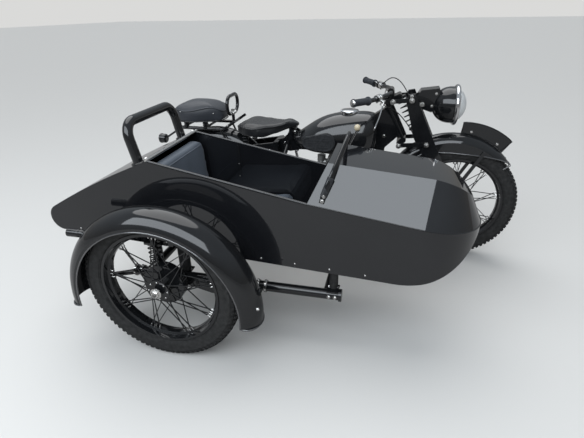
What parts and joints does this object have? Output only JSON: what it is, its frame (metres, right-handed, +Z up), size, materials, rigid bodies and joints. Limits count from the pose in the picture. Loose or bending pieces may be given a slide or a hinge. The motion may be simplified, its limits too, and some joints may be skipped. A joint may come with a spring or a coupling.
{
  "type": "motorcycle with sidecar",
  "caption": "Vintage motorcycle with girder fork, pressed frame and a boat-shaped sidecar with a faceted foredeck on a tube chassis.",
  "frame": {"origin": "on the ground, under the middle of the whole outfit", "axes": "+X forward along the motorcycle, +Y to its left, +Z up; the sidecar is on the right, towards -Y"},
  "size_m": [2.1461, 1.5624, 0.9667],
  "materials": {
    "black_paint": "deep gloss black stove enamel",
    "body_paint": "mirror-gloss black with a fine pale line",
    "chrome": "polished",
    "steel": "dull plated steel",
    "alloy": "cast, sand-blasted",
    "iron": "black heat-proof finish",
    "tyre": "black rubber",
    "rubber": "matt black rubber",
    "saddle_cover": "black rubber with fine ribs",
    "pad_cover": "dark grey leathercloth",
    "trim_cloth": "grey-blue leathercloth",
    "lamp_glass": "clear ribbed lens",
    "red_glass": "red lens"
  },
  "bodies": {
    "front_fork": {"fork_blades": "black_paint", "fork_links": "steel", "fork_spring": "black_paint", "steering_stem": "black_paint", "front_axle": "black_paint", "front_mudguard": "black_paint", "front_plate": "body_paint", "lamp_bracket": "black_paint", "headlamp_shell": "black_paint", "headlamp_rim": "chrome", "headlamp_glass": "lamp_glass", "handlebar": "black_paint", "grips": "rubber", "hand_levers": "chrome"},
    "front_wheel": {"front_tyre": "tyre", "front_wheel": "black_paint"},
    "rear_wheel": {"rear_tyre": "tyre", "rear_wheel": "black_paint"},
    "sidecar_wheel": {"sidecar_tyre": "tyre", "sidecar_wheel": "black_paint"},
    "centre_stand": {"centre_stand": "black_paint"},
    "outfit": {"frame": "black_paint", "rear_plates": "black_paint", "engine": "alloy", "carburettor": "alloy", "exhaust": "chrome", "tank": "black_paint", "filler_cap": "chrome", "knee_pads": "rubber", "gear_lever": "chrome", "saddle": "saddle_cover", "saddle_springs": "black_paint", "rack": "black_paint", "pillion_pad": "pad_cover", "rear_mudguard": "black_paint", "tail_lamp": "black_paint", "chain": "steel", "footrests": "rubber", "kick_starter": "chrome", "rear_axle": "steel", "body_side_right": "body_paint", "body_side_left": "body_paint", "body_floor": "black_paint", "rear_deck": "body_paint", "foredeck": "body_paint", "seat_cushion": "trim_cloth", "backrest": "trim_cloth", "hoop": "black_paint", "grab_handle": "black_paint", "chassis": "black_paint", "body_mounts": "rubber", "struts": "black_paint", "swing_arm": "black_paint", "sidecar_spring": "black_paint", "sidecar_mudguard": "black_paint", "marker_lamp": "black_paint"}
  },
  "joints": [
    {"name": "steering", "type": "hinge", "parent": "outfit", "child": "front_fork", "pos_m": [0.61169, 0.422, 0.331], "axis": [-0.4617, 0, 0.887], "range_deg": [-38, 38]},
    {"name": "front_wheel_spin", "type": "hinge", "parent": "front_fork", "child": "front_wheel", "pos_m": [0.744, 0.422, 0.331], "axis": [0, 1, 0], "continuous": true},
    {"name": "rear_wheel_spin", "type": "hinge", "parent": "outfit", "child": "rear_wheel", "pos_m": [-0.656, 0.422, 0.331], "axis": [0, 1, 0], "continuous": true},
    {"name": "sidecar_wheel_spin", "type": "hinge", "parent": "outfit", "child": "sidecar_wheel", "pos_m": [-0.473, -0.692, 0.331], "axis": [0, 1, 0], "continuous": true},
    {"name": "stand_fold", "type": "hinge", "parent": "outfit", "child": "centre_stand", "pos_m": [-0.06, 0.422, 0.205], "axis": [0, -1, 0], "range_deg": [0, 60], "stiffness_Nm_per_rad": 3, "springref_deg": -57.3}
  ]
}
